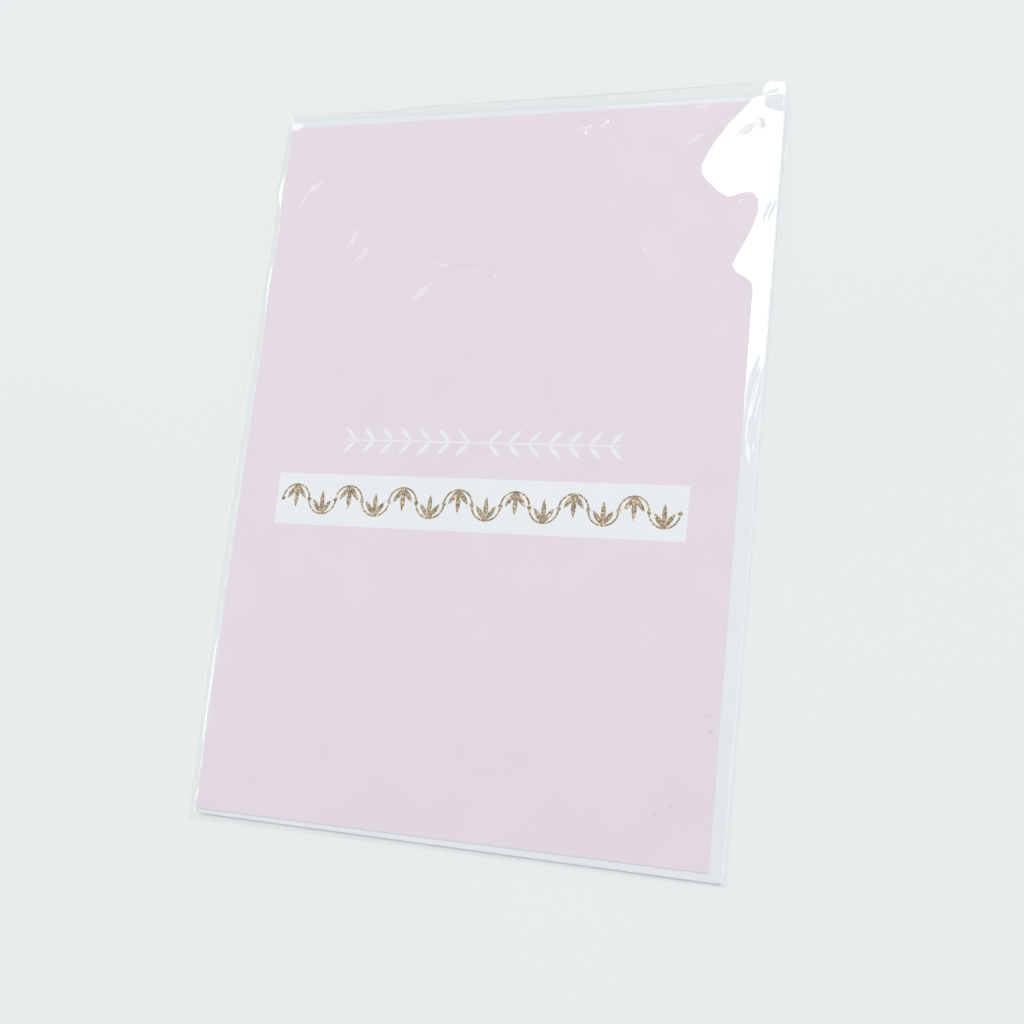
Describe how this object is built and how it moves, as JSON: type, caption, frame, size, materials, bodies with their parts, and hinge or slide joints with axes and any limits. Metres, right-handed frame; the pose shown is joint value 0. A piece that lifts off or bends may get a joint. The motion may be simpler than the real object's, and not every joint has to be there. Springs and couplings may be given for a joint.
{
  "type": "packed postcard with envelope",
  "caption": "Flat pack: pink printed card with a white band and a gold foil leaf garland, on a folded white paper envelope, in a clear film sleeve with its lip folded to the back.",
  "frame": {"origin": "middle of the sleeve's outline, on the surface that the pack lies on", "axes": "+X to the card's right, +Y to the card's top, +Z out of its printed face"},
  "size_m": [0.13, 0.1814, 0.0013],
  "materials": {
    "board": "smooth matt white board",
    "pink_ink": "matt pale pink print",
    "gold_foil": "glittering stamped gold foil",
    "envelope_paper": "smooth white writing paper",
    "clear_film": "glossy clear film",
    "adhesive": "clear tacky adhesive"
  },
  "bodies": {
    "root": {"card": "board", "printed_field": "pink_ink", "foil_garland": "gold_foil", "envelope": "envelope_paper", "sleeve": "clear_film", "seal_strip": "adhesive"}
  },
  "joints": []
}
